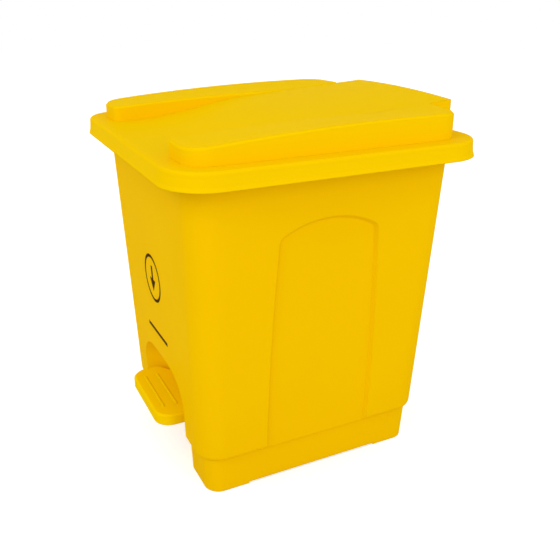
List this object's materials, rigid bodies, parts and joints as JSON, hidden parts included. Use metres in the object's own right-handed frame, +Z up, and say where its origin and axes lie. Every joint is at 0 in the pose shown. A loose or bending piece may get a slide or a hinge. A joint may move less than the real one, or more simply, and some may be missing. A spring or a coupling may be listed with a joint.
{
  "type": "pedal bin",
  "caption": "Moulded plastic foot-pedal bin: tapered container on a plinth, hinged lid with raised side rails, pedal in a front niche and a push rod behind.",
  "frame": {"origin": "on the floor at the centre of the container's footprint, close to the centre of the bounding box", "axes": "+Z up, the pedal and the front face -Y, the lid hinge and the push rod are at +Y, +X is the right-hand side seen from the front"},
  "size_m": [0.3706, 0.3672, 0.4333],
  "materials": {
    "yellow_plastic": "moulded polypropylene, satin, fine grain",
    "pedal_plastic": "moulded polypropylene, satin",
    "dark_plastic": "moulded polypropylene, dark grey",
    "acetal": "turned or moulded acetal, natural white",
    "zinc_steel": "zinc plated",
    "rubber": "moulded, matte"
  },
  "bodies": {
    "bin": {"bin_body": "yellow_plastic", "base_plinth": "yellow_plastic", "rubber_feet": "rubber", "plinth_screws": "zinc_steel", "rod_cover": "yellow_plastic", "cover_screws": "zinc_steel", "rod_guide_lower": "acetal", "rod_guide_upper": "acetal", "hinge_pin": "zinc_steel", "hinge_pin_caps": "dark_plastic", "pedal_axle": "zinc_steel", "axle_clamps": "acetal", "clamp_screws": "zinc_steel", "pedal_stop": "rubber"},
    "lid": {"lid": "yellow_plastic", "lift_pin": "zinc_steel", "lid_buffers": "rubber"},
    "pedal": {"pedal_lever": "zinc_steel", "lever_bushes": "acetal", "pedal_pad": "pedal_plastic", "pedal_screws": "zinc_steel"},
    "rod": {"push_rod": "zinc_steel", "rod_head": "acetal", "rod_foot": "acetal"}
  },
  "joints": [
    {"name": "lid_hinge", "type": "hinge", "parent": "bin", "child": "lid", "pos_m": [0, 0.178, 0.391], "axis": [-1, 0, 0], "range_deg": [0, 75]},
    {"name": "pedal_pivot", "type": "hinge", "parent": "bin", "child": "pedal", "pos_m": [0, 0.05279, 0.027], "axis": [1, 0, 0], "range_deg": [0, 9]},
    {"name": "rod_lift", "type": "slide", "parent": "bin", "child": "rod", "axis": [0, 0, 1], "range_m": [0, 0.01778]}
  ],
  "couplings": [
    {"joint": "pedal_pivot", "follows": "lid_hinge", "ratio": 0.12},
    {"joint": "rod_lift", "follows": "lid_hinge", "m_per_rad": 0.01358}
  ]
}
